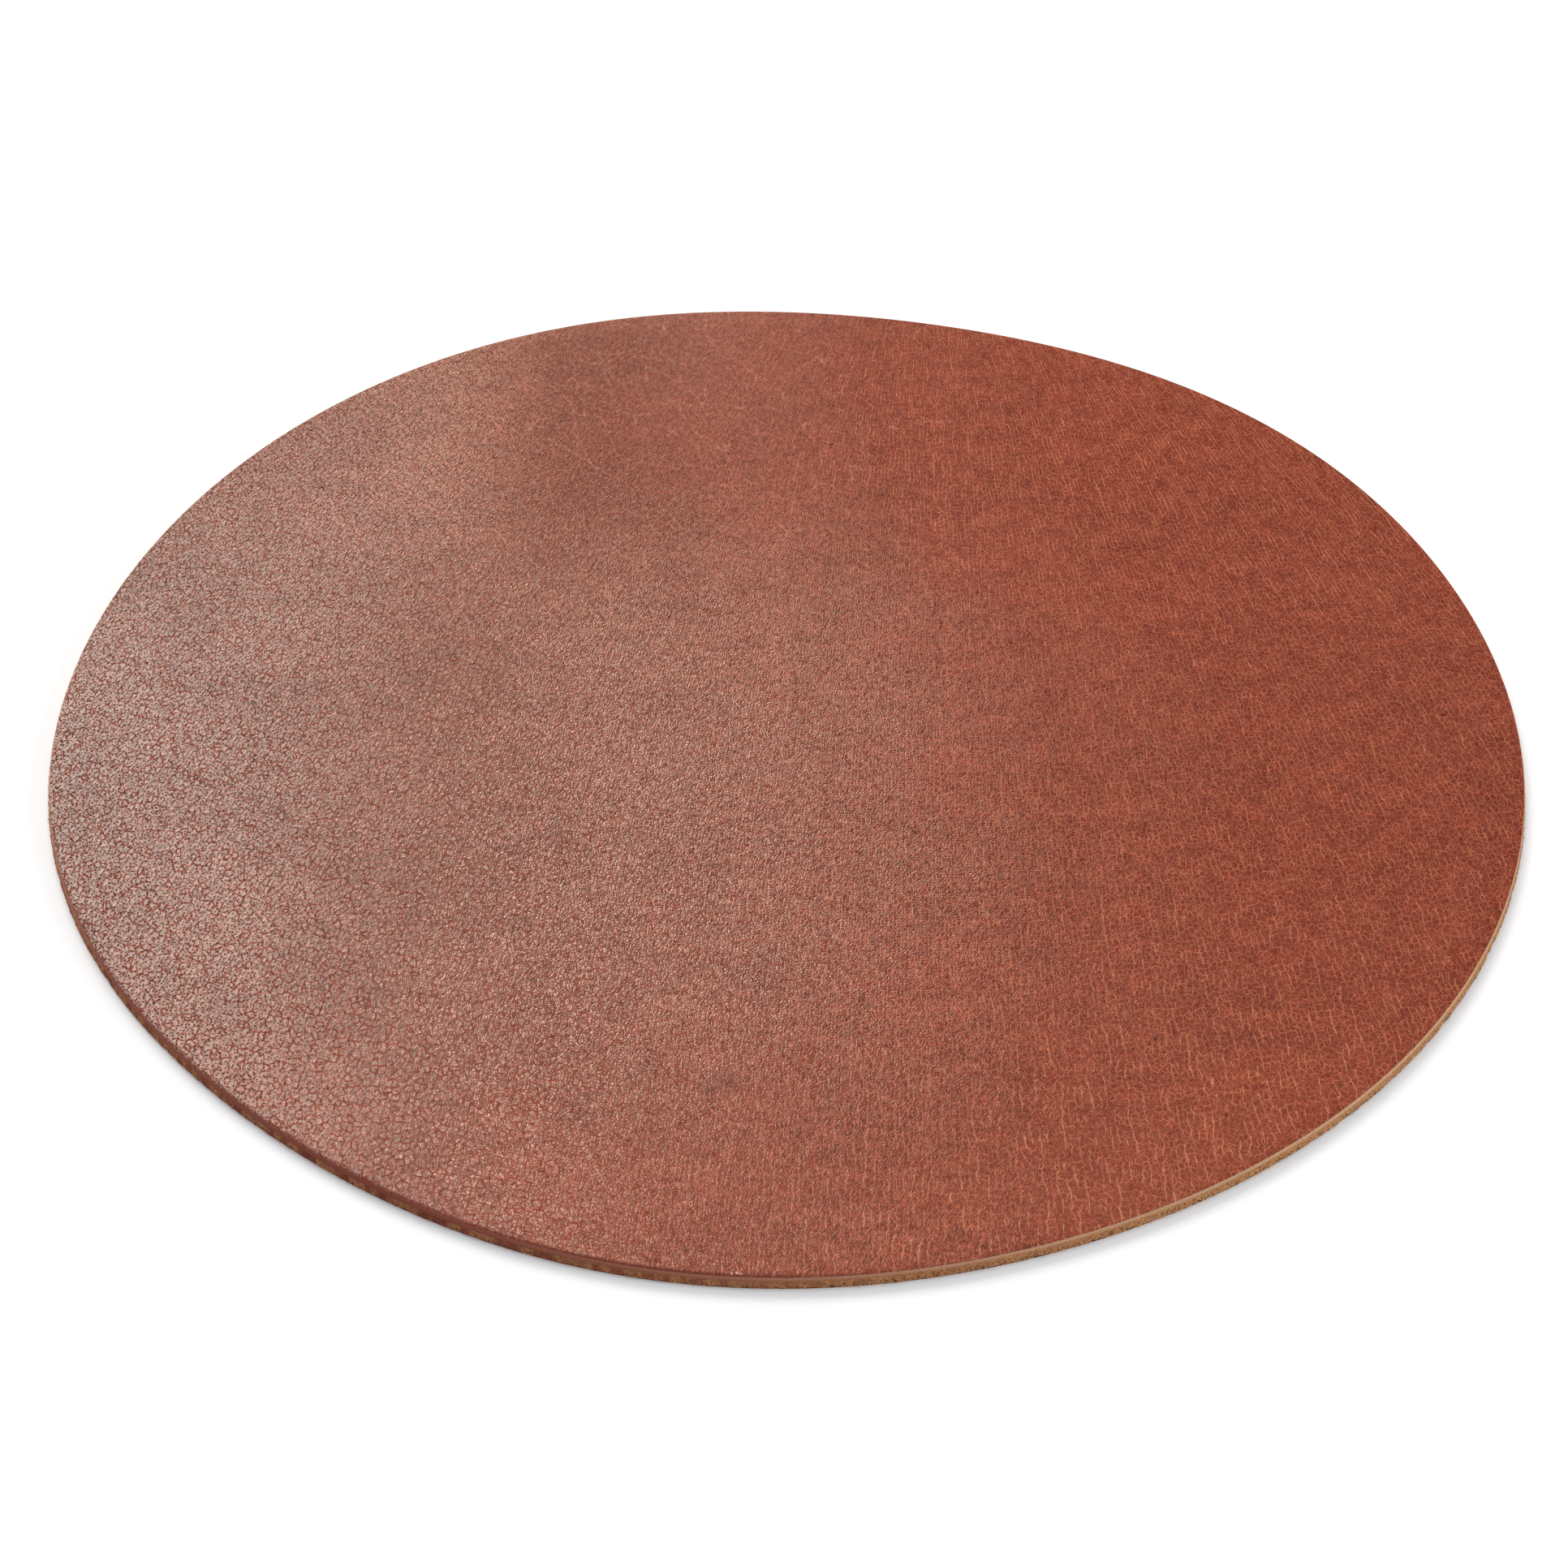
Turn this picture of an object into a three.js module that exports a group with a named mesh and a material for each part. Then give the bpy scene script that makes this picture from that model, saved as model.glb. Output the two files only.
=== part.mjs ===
import * as THREE from "three";

// Round leather mouse pad, cut by hand from a single ply of hide.
// Millimetres, +Z up out of the grain face, the pad lying on the plane Z = 0.
// The hide's two strata are separate bodies that meet on a flat plane:
// a compact, dyed grain layer on top and the looser, undyed flesh layer below it.

// Driving dimensions
const padDiameter = 260;
const grainThickness = 1.0;
const fleshThickness = 1.7;

// Edge of the grain layer: the knife pulls the grain down and rolls it over the rim.
const arrisRadius = 0.45;
const edgeFall = 0.15;
const edgeFallWidth = 6;

// Edge of the flesh layer: loose fibres spread past the grain, and the lower corner is worn.
const fleshSpread = 0.25;
const wornCornerHeight = 0.5;
const wornCornerInset = 0.4;

// Long shallow waves of the hand-cut outline, each with its depth and where it peaks.
const cutWaves = [
  { lobes: 3, depth: 0.53, peakDegrees: 19 },
  { lobes: 4, depth: 0.38, peakDegrees: 26 },
  { lobes: 5, depth: 0.67, peakDegrees: -25 },
  { lobes: 7, depth: 0.15, peakDegrees: 0 },
];

// Fineness of the facets
const rimSegments = 144;
const arrisSegments = 5;
const fallSegments = 4;

const padRadius = padDiameter / 2;
const padHeight = fleshThickness + grainThickness;

// How far the cut strays outwards from a true circle in the direction of an angle.
function cutWander(angle) {
  return cutWaves.reduce((sum, wave) => {
    const peak = THREE.MathUtils.degToRad(wave.peakDegrees);
    return sum + wave.depth * Math.cos(wave.lobes * (angle - peak));
  }, 0);
}

// Revolves a profile of (radius, height) points about Z and lets its rim follow the hand cut.
function handCutDisc(profile) {
  const geometry = new THREE.LatheGeometry(profile, rimSegments);
  geometry.rotateX(Math.PI / 2);
  const position = geometry.getAttribute("position");
  for (let i = 0; i < position.count; i += 1) {
    const x = position.getX(i);
    const y = position.getY(i);
    const stretch = 1 + cutWander(Math.atan2(y, x)) / padRadius;
    position.setXY(i, x * stretch, y * stretch);
  }
  geometry.computeVertexNormals();
  return geometry;
}

// The grain layer: flat below, a straight cut wall, a rolled arris and a face that falls to it.
function grainProfile() {
  const arrisTop = padHeight - edgeFall;
  const points = [
    new THREE.Vector2(0, fleshThickness),
    new THREE.Vector2(padRadius, fleshThickness),
  ];
  for (let step = 0; step <= arrisSegments; step += 1) {
    const turn = (step / arrisSegments) * (Math.PI / 2);
    points.push(new THREE.Vector2(
      padRadius - arrisRadius + arrisRadius * Math.cos(turn),
      arrisTop - arrisRadius + arrisRadius * Math.sin(turn),
    ));
  }
  const fallStart = padRadius - arrisRadius;
  const fallLength = edgeFallWidth - arrisRadius;
  for (let step = 1; step <= fallSegments; step += 1) {
    const along = step / fallSegments;
    points.push(new THREE.Vector2(
      fallStart - fallLength * along,
      arrisTop + edgeFall * THREE.MathUtils.smoothstep(along, 0, 1),
    ));
  }
  points.push(new THREE.Vector2(0, padHeight));
  return points;
}

// The flesh layer: flat on both faces, with a worn lower corner and a rim just proud of the grain.
function fleshProfile() {
  const fleshRadius = padRadius + fleshSpread;
  return [
    new THREE.Vector2(0, 0),
    new THREE.Vector2(fleshRadius - wornCornerInset, 0),
    new THREE.Vector2(fleshRadius, wornCornerHeight),
    new THREE.Vector2(padRadius, fleshThickness),
    new THREE.Vector2(0, fleshThickness),
  ];
}

const grainLayer = new THREE.Mesh(
  handCutDisc(grainProfile()),
  new THREE.MeshStandardMaterial({ color: 0x7e4431, roughness: 0.5, metalness: 0 }),
);
grainLayer.name = "grain_layer";

const fleshLayer = new THREE.Mesh(
  handCutDisc(fleshProfile()),
  new THREE.MeshStandardMaterial({ color: 0xb98a62, roughness: 0.95, metalness: 0 }),
);
fleshLayer.name = "flesh_layer";

const mousePad = new THREE.Group();
mousePad.add(fleshLayer, grainLayer);

// The origin lies under the middle of the outline's own extents.
const middle = new THREE.Box3().setFromObject(mousePad).getCenter(new THREE.Vector3());
mousePad.position.set(-middle.x, -middle.y, 0);

export default mousePad;
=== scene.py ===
import math

import bpy
import numpy as np
from mathutils import Matrix, Vector


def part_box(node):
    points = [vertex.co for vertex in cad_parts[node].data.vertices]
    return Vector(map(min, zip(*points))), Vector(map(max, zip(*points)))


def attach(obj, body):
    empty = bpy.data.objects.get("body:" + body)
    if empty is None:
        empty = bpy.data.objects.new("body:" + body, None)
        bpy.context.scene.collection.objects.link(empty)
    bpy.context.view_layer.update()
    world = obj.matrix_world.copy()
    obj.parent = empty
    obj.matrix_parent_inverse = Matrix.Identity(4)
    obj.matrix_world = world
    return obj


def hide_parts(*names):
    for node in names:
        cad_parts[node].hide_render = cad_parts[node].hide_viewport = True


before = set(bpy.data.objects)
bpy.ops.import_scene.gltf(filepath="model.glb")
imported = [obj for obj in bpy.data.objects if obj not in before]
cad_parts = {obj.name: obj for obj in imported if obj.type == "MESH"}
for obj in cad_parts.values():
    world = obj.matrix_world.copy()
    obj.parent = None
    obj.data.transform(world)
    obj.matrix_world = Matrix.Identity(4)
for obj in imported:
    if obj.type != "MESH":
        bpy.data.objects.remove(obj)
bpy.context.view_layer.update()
mm = 0.001
print("frame loaded:", ", ".join(sorted(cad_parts)))


# Node helpers, for materials and geometry trees alike

def feed(tree, socket, value):
    if isinstance(value, bpy.types.NodeSocket):
        tree.links.new(value, socket)
    else:
        socket.default_value = value


def place(tree, kind, inputs=None, **settings):
    node = tree.nodes.new(kind)
    for name, value in settings.items():
        setattr(node, name, value)
    for name, value in (inputs or {}).items():
        feed(tree, node.inputs[name], value)
    return node


def calc(tree, operation, first, second):
    return place(tree, "ShaderNodeMath", {0: first, 1: second}, operation=operation).outputs[0]


def product(tree, first, *others):
    for other in others:
        first = calc(tree, "MULTIPLY", first, other)
    return first


def strongest(tree, values):
    top = values[0]
    for value in values[1:]:
        top = calc(tree, "MAXIMUM", top, value)
    return top


def weighted(tree, pairs):  # the sum of each value times its weight
    total = 0.0
    for value, weight in pairs:
        total = calc(tree, "ADD", calc(tree, "MULTIPLY", value, weight), total)
    return total


def between(tree, share, first, second):  # goes from the first value to the second
    return weighted(tree, [(first, calc(tree, "SUBTRACT", 1.0, share)), (second, share)])


def vectorCalc(tree, operation, first, second):
    spot = "Scale" if operation == "SCALE" else 1
    node = place(tree, "ShaderNodeVectorMath", {0: first, spot: second}, operation=operation)
    return node.outputs["Value" if operation in ("DISTANCE", "DOT_PRODUCT") else "Vector"]


def axesOf(tree, vector):
    return place(tree, "ShaderNodeSeparateXYZ", {"Vector": vector}).outputs


def join(tree, x, y, z=0.0):
    return place(tree, "ShaderNodeCombineXYZ", {"X": x, "Y": y, "Z": z}).outputs[0]


def fade(tree, value, start, end, startValue=0.0, endValue=1.0):  # a smooth step
    inputs = {"Value": value, "From Min": start, "From Max": end,
              "To Min": startValue, "To Max": endValue}
    return place(tree, "ShaderNodeMapRange", inputs, interpolation_type="SMOOTHSTEP").outputs[0]


def paint(tree, color, *layers):  # each layer as (share, colour), one over the other
    for share, tint in layers:
        node = place(tree, "ShaderNodeMix", {0: share, 6: color, 7: tint}, data_type="RGBA")
        color = node.outputs[2]
    return color


def noiseAt(tree, point, detail, scale=1.0, flat=False):
    inputs = {"Vector": point, "Scale": scale, "Detail": detail}
    dimensions = "2D" if flat else "3D"
    return place(tree, "ShaderNodeTexNoise", inputs, noise_dimensions=dimensions).outputs


def noiseOf(tree, point, size, detail=2.0):  # flat, for a pattern that lies on a face
    return noiseAt(tree, point, detail, 1.0 / size, flat=True)["Fac"]


def cellsAt(tree, point, feature, scale=1.0, uneven=1.0, flat=True):
    inputs = {"Vector": point, "Scale": scale, "Randomness": uneven}
    dimensions = "2D" if flat else "3D"
    node = place(tree, "ShaderNodeTexVoronoi", inputs, feature=feature, voronoi_dimensions=dimensions)
    return node.outputs


def bumpOf(tree, height, depth):
    inputs = {"Height": height, "Distance": depth, "Strength": 1.0}
    return place(tree, "ShaderNodeBump", inputs).outputs[0]


def rampOf(tree, value, knots):  # knots as (value, share or colour), in order
    low, high = knots[0][0], knots[-1][0]
    span = {"Value": value, "From Min": low, "From Max": high}
    ramp = place(tree, "ShaderNodeValToRGB", {"Fac": place(tree, "ShaderNodeMapRange", span).outputs[0]})
    stops = ramp.color_ramp.elements
    while len(stops) < len(knots):
        stops.new(0.5)
    for stop, (spot, share) in zip(stops, knots):
        stop.position = (spot - low) / (high - low)
        stop.color = share if isinstance(share, tuple) else (share, share, share, 1.0)
    return ramp.outputs["Color"]


socketKinds = {"Plan": "Vector", "Geometry": "Geometry", "Material": "Material", "Seed": "Int"}


def newTree(name, kind, inputs, outputs):  # sockets by name; those not in socketKinds are numbers
    tree = bpy.data.node_groups.new(name, kind)
    for side, names in (("INPUT", inputs), ("OUTPUT", outputs)):
        for socketName in names:
            socketKind = "NodeSocket" + socketKinds.get(socketName, "Float")
            tree.interface.new_socket(socketName, in_out=side, socket_type=socketKind)
    return tree, tree.nodes.new("NodeGroupInput").outputs, tree.nodes.new("NodeGroupOutput").inputs


def group(tree, shared, **inputs):
    named = {name.replace("_", " "): value for name, value in inputs.items()}
    return place(tree, "ShaderNodeGroup", named, node_tree=shared).outputs


def newMaterial(name):
    material = bpy.data.materials.new(name)
    material.use_nodes = True
    tree = material.node_tree
    return material, tree, tree.nodes["Principled BSDF"]


def setFinish(shader, look):
    shader.inputs["Roughness"].default_value = look["rough"]
    shader.inputs["Specular IOR Level"].default_value = look["shine"]


def planOf(tree):  # the place on the piece, in millimetres
    point = place(tree, "ShaderNodeTexCoord").outputs["Object"]
    return vectorCalc(tree, "SCALE", point, 1.0 / mm)


def linear(red, green, blue):  # a colour as picked on screen, made linear
    shares = [c / 255 for c in (red, green, blue)]
    return tuple(c / 12.92 if c <= 0.04045 else ((c + 0.055) / 1.055) ** 2.4 for c in shares) + (1.0,)


# Camera, where the photograph was taken from

photoView = {
    "lens": 83.85,  # mm
    "sensor": 36.0,
    "nearest": 0.01,  # metres
    "elevation": 41.32,  # degrees
    "distance": 641.4,  # mm, from the target
    "target": (-0.755, -13.784, 0.0),
    "roll": -0.77,  # degrees
}


def setCamera(view):
    tilt, lean = math.radians(view["elevation"]), math.radians(view["roll"])
    back = Vector((0, -math.cos(tilt), math.sin(tilt)))
    level = Vector((1, 0, 0))
    upright = back.cross(level)
    right = math.cos(lean) * level - math.sin(lean) * upright
    up = math.sin(lean) * level + math.cos(lean) * upright
    spot = (Vector(view["target"]) + view["distance"] * back) * mm
    data = bpy.data.cameras.new("photoCamera")
    data.lens = view["lens"]
    data.sensor_width = view["sensor"]
    data.clip_start = view["nearest"]
    camera = bpy.data.objects.new("photoCamera", data)
    bpy.context.scene.collection.objects.link(camera)
    camera.matrix_world = Matrix.Translation(spot) @ Matrix((right, up, back)).transposed().to_4x4()
    bpy.context.scene.camera = camera


setCamera(photoView)
print("camera set")

# Floor and light

floorLook = {
    "halfWidth": 12.0,  # metres
    "drop": 0.05,  # mm below the pad
    "tone": (0.8, 0.8, 0.8, 1.0),
    "rough": 1.0,
    "shine": 0.0,
    "white": (1.0, 1.0, 1.0, 1.0),
    "whiteLift": 0.24,  # shown only to rays that look at it, so that the shadow stays soft and pale
    "farLift": 1.0,  # and where the lamps no longer reach
    "farSpan": (0.6, 2.5),  # metres
}

# The key is a little warm and the rest as much cooler, so that together they are neutral
warmTint = (1.05, 0.985, 0.92)
coolTint = (0.95, 1.005, 1.06)
softboxes = {
    # metres and degrees; turn counts from +X, and glow is the radiance of the box's face
    "backLeftKey": {"turn": 112, "rise": 46, "size": (1.9, 1.1), "glow": 6.4, "tint": warmTint},
    "overhead": {"turn": 121, "rise": 80, "size": (2.0, 2.0), "glow": 1.2, "tint": coolTint},
    "rightFill": {"turn": -22, "rise": 24, "size": (1.4, 1.2), "glow": 3.6, "tint": coolTint},
}
boxDistance = 2.5
skyGlow = 0.28


def setFloor(look):
    half, low = look["halfWidth"], -look["drop"] * mm
    corners = [(-half, -half, low), (half, -half, low), (half, half, low), (-half, half, low)]
    mesh = bpy.data.meshes.new("paleFloor")
    mesh.from_pydata(corners, [], [(0, 1, 2, 3)])
    floor = bpy.data.objects.new("paleFloor", mesh)
    bpy.context.scene.collection.objects.link(floor)
    material, tree, shader = newMaterial("paleFloor")
    shader.inputs["Base Color"].default_value = look["tone"]
    setFinish(shader, look)
    rays = place(tree, "ShaderNodeLightPath").outputs
    seen = strongest(tree, [rays["Is Camera Ray"], rays["Is Glossy Ray"], rays["Is Transmission Ray"]])
    shader.inputs["Emission Color"].default_value = look["white"]
    point = place(tree, "ShaderNodeTexCoord").outputs["Object"]
    away = vectorCalc(tree, "DISTANCE", point, (0.0, 0.0, 0.0))
    lift = fade(tree, away, *look["farSpan"], look["whiteLift"], look["farLift"])
    feed(tree, shader.inputs["Emission Strength"], calc(tree, "MULTIPLY", seen, lift))
    mesh.materials.append(material)


def setLights(boxes):
    for name, box in boxes.items():
        turn, rise = math.radians(box["turn"]), math.radians(box["rise"])
        away = Vector((math.cos(turn) * math.cos(rise), math.sin(turn) * math.cos(rise), math.sin(rise)))
        data = bpy.data.lights.new(name, "AREA")
        data.shape = "RECTANGLE"
        data.size, data.size_y = box["size"]
        data.energy = box["glow"] * math.pi * data.size * data.size_y
        data.color = box["tint"]
        lamp = bpy.data.objects.new(name, data)
        lamp.location = away * boxDistance
        lamp.rotation_euler = away.to_track_quat("Z", "Y").to_euler()
        lamp.visible_camera = False
        bpy.context.scene.collection.objects.link(lamp)
    world = bpy.data.worlds.new("softSky")
    world.use_nodes = True
    sky = world.node_tree.nodes["Background"].inputs
    sky["Color"].default_value = (*coolTint, 1.0)
    sky["Strength"].default_value = skyGlow
    bpy.context.scene.world = world
    bpy.context.scene.view_settings.view_transform = "Standard"


setFloor(floorLook)
setLights(softboxes)
print("floor and light set")


# Effects that both leathers share

swayStretch = (0.5, 1.0, 1.0)  # strands sway in bends twice as long as they are wide
fibreStretch = (0.6, 0.6, 1.8)  # fibres lie flat in the cut
mottleSpan = (0.28, 0.72)
fleckSpans = {"Strands": (0.3, 0.7), "Pits": (0.53, 0.62), "Ends": (0.32, 0.12)}
fibreEnds = 1.4  # ends to a strand's width


def makeWander():
    # pushes a pattern about, so that its lines wander
    tree, given, result = newTree("wander", "ShaderNodeTree", ("Plan", "Reach", "Size"), ("Plan",))
    spot = vectorCalc(tree, "DIVIDE", given["Plan"], given["Size"])
    sway = noiseAt(tree, spot, 1.0, flat=True)["Color"]
    sway = vectorCalc(tree, "SUBTRACT", sway, (0.5, 0.5, 0.5))
    moved = vectorCalc(tree, "ADD", given["Plan"], vectorCalc(tree, "SCALE", sway, given["Reach"]))
    feed(tree, result["Plan"], moved)
    return tree


def makeCreaseCells():
    # a net of creases, its cells longer one way than the other
    inputs, outputs = ("Plan", "Along", "Across", "Uneven"), ("Edge", "Middle", "Crown", "Chance")
    tree, given, result = newTree("creaseCells", "ShaderNodeTree", inputs, outputs)
    spot = vectorCalc(tree, "DIVIDE", given["Plan"], join(tree, given["Along"], given["Across"], 1.0))
    first, second, edge = (cellsAt(tree, spot, feature, uneven=given["Uneven"])
                           for feature in ("F1", "F2", "DISTANCE_TO_EDGE"))
    feed(tree, result["Edge"], edge["Distance"])
    feed(tree, result["Middle"], first["Distance"])
    feed(tree, result["Crown"], calc(tree, "SUBTRACT", second["Distance"], first["Distance"]))
    feed(tree, result["Chance"], axesOf(tree, first["Color"])["X"])
    return tree


def makeStrandLines():
    # lines that run side by side along X and sway, by the distance to the nearest
    inputs = ("Plan", "Spacing", "Sway", "Sway Size")
    tree, given, result = newTree("strandLines", "ShaderNodeTree", inputs, ("Distance",))
    spot = vectorCalc(tree, "MULTIPLY", given["Plan"], swayStretch)
    spot = vectorCalc(tree, "DIVIDE", spot, given["Sway Size"])
    sway = noiseAt(tree, spot, 2.0, flat=True)["Fac"]
    sway = calc(tree, "MULTIPLY", calc(tree, "SUBTRACT", sway, 0.5), given["Sway"])
    across = calc(tree, "ADD", axesOf(tree, given["Plan"])["Y"], sway)
    strand = calc(tree, "DIVIDE", across, given["Spacing"])
    near = calc(tree, "PINGPONG", strand, 0.5)
    feed(tree, result["Distance"], calc(tree, "MULTIPLY", near, given["Spacing"]))
    return tree


def makeHideMottle():
    # uneven take-up of dye and wax: broad clouds, small patches and a fine speckle
    inputs = ("Plan", "Cloud Size", "Patch Size", "Speckle Size")
    outputs = ("Clouds", "Patches", "Speckle")
    tree, given, result = newTree("hideMottle", "ShaderNodeTree", inputs, outputs)
    for name, source, detail in (("Clouds", "Cloud Size", 2.0), ("Patches", "Patch Size", 2.0),
                                 ("Speckle", "Speckle Size", 1.0)):
        point = vectorCalc(tree, "DIVIDE", given["Plan"], given[source])
        noise = noiseAt(tree, point, detail, flat=name != "Speckle")["Fac"]
        feed(tree, result[name], fade(tree, noise, *mottleSpan))
    return tree


def makeCutFlecks():
    # a knife cut through fibre: strands along the cut, pits between them and light ends
    inputs = ("Plan", "Strand Size", "Pit Size")
    tree, given, result = newTree("cutFlecks", "ShaderNodeTree", inputs, fleckSpans)
    point = vectorCalc(tree, "DIVIDE", given["Plan"], given["Strand Size"])
    point = vectorCalc(tree, "MULTIPLY", point, fibreStretch)
    spot = vectorCalc(tree, "DIVIDE", given["Plan"], given["Pit Size"])
    flecks = {
        "Strands": noiseAt(tree, point, 3.0)["Fac"],
        "Pits": noiseAt(tree, spot, 2.0)["Fac"],
        "Ends": cellsAt(tree, point, "F1", fibreEnds, flat=False)["Distance"],
    }
    for name, fleck in flecks.items():
        feed(tree, result[name], fade(tree, fleck, *fleckSpans[name]))
    return tree


wander = makeWander()
creaseCells = makeCreaseCells()
strandLines = makeStrandLines()
hideMottle = makeHideMottle()
cutFlecks = makeCutFlecks()

# By degrees round the pad from +X: where the dyed grain is rolled down over the cut, and how loose
# the fibres of the cut are

rolledRound = [(-180, 0.15), (-168, 0.45), (-150, 0.9), (-118, 1.0), (-95, 0.75), (-72, 0.25),
               (-50, 0.05), (60, 0.0), (120, 0.2), (180, 0.15)]
looseRound = [(-180, 1.0), (-165, 0.6), (-140, 0.1), (-100, 0.1), (-60, 0.2), (0, 0.25), (90, 0.3),
              (150, 0.6), (180, 1.0)]


def rolledMask(tree):
    point = place(tree, "ShaderNodeTexCoord").outputs["Object"]
    around = place(tree, "ShaderNodeTexGradient", {"Vector": point}, gradient_type="RADIAL")
    degrees = calc(tree, "MULTIPLY", around.outputs["Fac"], 360.0)
    return rampOf(tree, calc(tree, "SUBTRACT", degrees, 180.0), rolledRound)


# Discs laid flat: a fine face, a cut wall and a closing face on the far side

rimSlack = 0.01  # mm, how far from the lowest a point of the lower rim may be
reliefSpan = (1.0, 9.0)  # mm in from the cut, where the relief grows to its full depth
mapLayout = {"face": 0.46, "cut": 0.03, "hidden": 0.02, "corner": 0.97}


def readOutline(node):
    # the hand cut's radius by direction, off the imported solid's own lower rim
    points = np.array([v.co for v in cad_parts[node].data.vertices]) / mm
    reach = np.hypot(points[:, 0], points[:, 1])
    rim = (points[:, 2] < points[:, 2].min() + rimSlack) & (reach > reach.max() / 2)
    angles = np.round(np.arctan2(points[rim, 1], points[rim, 0]), 4)
    knots, first = np.unique(angles, return_index=True)
    radii = reach[rim][first]
    return lambda angle: np.interp(angle, knots, radii, period=2 * np.pi)


def smooth(value, start, end):
    share = np.clip((value - start) / (end - start), 0, 1)
    return share * share * (3 - 2 * share)


def pressedGrid(rings):
    # a square grid pressed into a disc: share of the radius, direction, quads and rim order
    steps = np.arange(-rings, rings + 1) / rings
    a, b = (g.ravel() for g in np.meshgrid(steps, steps))
    share = np.maximum(abs(a), abs(b))
    wide = abs(a) >= abs(b)
    safeA, safeB = np.where(a == 0, 1, a), np.where(b == 0, 1, b)
    angle = np.where(wide, np.pi / 4 * b / safeA + np.pi * (a < 0),
                     np.pi / 2 - np.pi / 4 * a / safeB + np.pi * (b < 0))
    angle = np.arctan2(np.sin(angle), np.cos(angle))
    row = 2 * rings + 1
    low = (np.arange(row - 1)[:, None] * row + np.arange(row - 1)).ravel()
    quads = np.stack([low, low + 1, low + row + 1, low + row], 1)
    rim = np.flatnonzero(share == 1)
    return share, angle, quads, rim[np.argsort(angle[rim])]


def layDisc(name, outline, rings, split, faceRows, wallRows, facing):
    # faceRows give the height of the fine face by distance in from the cut, and wallRows walk down the
    # cut as (distance in, height, share of wall)
    share, angle, quads, rim = pressedGrid(rings)
    radius = share * (outline(angle) - wallRows[0][0])
    inset = outline(angle) - radius
    height = np.interp(inset, *zip(*faceRows))
    wall = np.zeros_like(share)
    count, total = len(rim), len(share)
    turn = angle[rim]
    gap = np.diff(turn, append=turn[:1] + 2 * np.pi)
    around = (turn[:, None] + gap[:, None] * np.arange(split) / split).ravel()
    layers = [(radius, angle, height, inset, wall)]
    faces = [tuple(q) for q in quads]
    first = 1 if split == 1 else 0
    inner = rim
    for distance, level, share in wallRows[first:]:
        ones = np.ones_like(around)
        layers.append((outline(around) - distance, around, level * ones, distance * ones, share * ones))
        outer = total + np.arange(count * split)
        step = len(outer) // len(inner)
        for i in range(len(inner)):
            nearby = [outer[(i * step + k) % len(outer)] for k in range(step + 1)]
            faces.append((inner[i], *nearby, inner[(i + 1) % len(inner)]))
        inner = outer
        total += len(outer)
    shown = len(faces)
    faces += [(inner[i], total, inner[(i + 1) % len(inner)]) for i in range(len(inner))]
    layers.append(tuple(np.array([v]) for v in (0.0, 0.0, wallRows[-1][1], 0.0, 0.0)))
    radius, angle, height, inset, wall = (np.concatenate(column) for column in zip(*layers))
    points = np.stack([radius * np.cos(angle), radius * np.sin(angle), height], 1) * mm
    faces = [f if facing > 0 else f[::-1] for f in faces]
    mesh = bpy.data.meshes.new(name)
    mesh.from_pydata(points.tolist(), [], [[int(i) for i in f] for f in faces])
    mesh.polygons.foreach_set("use_smooth", np.ones(len(faces), bool))
    values = {
        "rimInset": inset,
        "wallShare": wall,
        "reliefShare": smooth(inset, *reliefSpan) * (wall == 0),
        "looseShare": np.interp(np.degrees(angle), *zip(*looseRound)),
    }
    for key, column in values.items():
        mesh.attributes.new(key, "FLOAT", "POINT").data.foreach_set("value", column.astype(np.float32))
    layOut(mesh, radius, angle, wall, shown, facing)
    mesh.validate()
    return mesh


def layOut(mesh, radius, angle, wall, shown, facing):
    # the surface map: the fine face fills it, the cut is a ring round it, the hidden face a dot
    reach = radius / radius.max() * mapLayout["face"]
    depth = np.maximum.accumulate(np.where(wall > 0, wall, 0))
    reach = np.where(wall > 0, mapLayout["face"] + depth * mapLayout["cut"], reach)
    flat = np.stack([0.5 + facing * reach * np.cos(angle), 0.5 + reach * np.sin(angle)], 1)
    dot = mapLayout["corner"] + mapLayout["hidden"] * (flat - 0.5)
    corners = np.zeros(len(mesh.loops), int)
    mesh.loops.foreach_get("vertex_index", corners)
    hidden = np.arange(len(corners)) >= mesh.polygons[shown].loop_start
    spread = np.where(hidden[:, None], dot[corners], flat[corners])
    layer = mesh.uv_layers.new(name="OFBake")
    layer.uv.foreach_set("vector", spread.astype(np.float32).ravel())


def grow(name, mesh, tree, values):
    # runs a geometry tree on a mesh and keeps the plain result
    piece = bpy.data.objects.new(name, mesh)
    bpy.context.scene.collection.objects.link(piece)
    modifier = piece.modifiers.new("grow", "NODES")
    modifier.node_group = tree
    for item in tree.interface.items_tree:
        if item.in_out == "INPUT" and item.name in values:
            modifier[item.identifier] = values[item.name]
    seen = bpy.context.evaluated_depsgraph_get()
    finished = bpy.data.meshes.new_from_object(piece.evaluated_get(seen), preserve_all_data_layers=True,
                                               depsgraph=seen)
    piece.modifiers.remove(modifier)
    piece.data = finished
    finished.name = name
    return piece


def attribute(tree, name):  # of the mesh, in a geometry tree
    node = place(tree, "GeometryNodeInputNamedAttribute", {"Name": name}, data_type="FLOAT")
    return node.outputs["Attribute"]


def shownAttribute(tree, name):  # the same in a material
    return place(tree, "ShaderNodeAttribute", attribute_name=name).outputs["Fac"]


def closeTree(tree, geometry, material, result):
    solid = place(tree, "GeometryNodeRealizeInstances", {"Geometry": geometry}).outputs[0]
    painted = place(tree, "GeometryNodeSetMaterial", {"Geometry": solid, "Material": material})
    feed(tree, result["Geometry"], painted.outputs[0])


cutOutline = readOutline("grain_layer")

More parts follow.
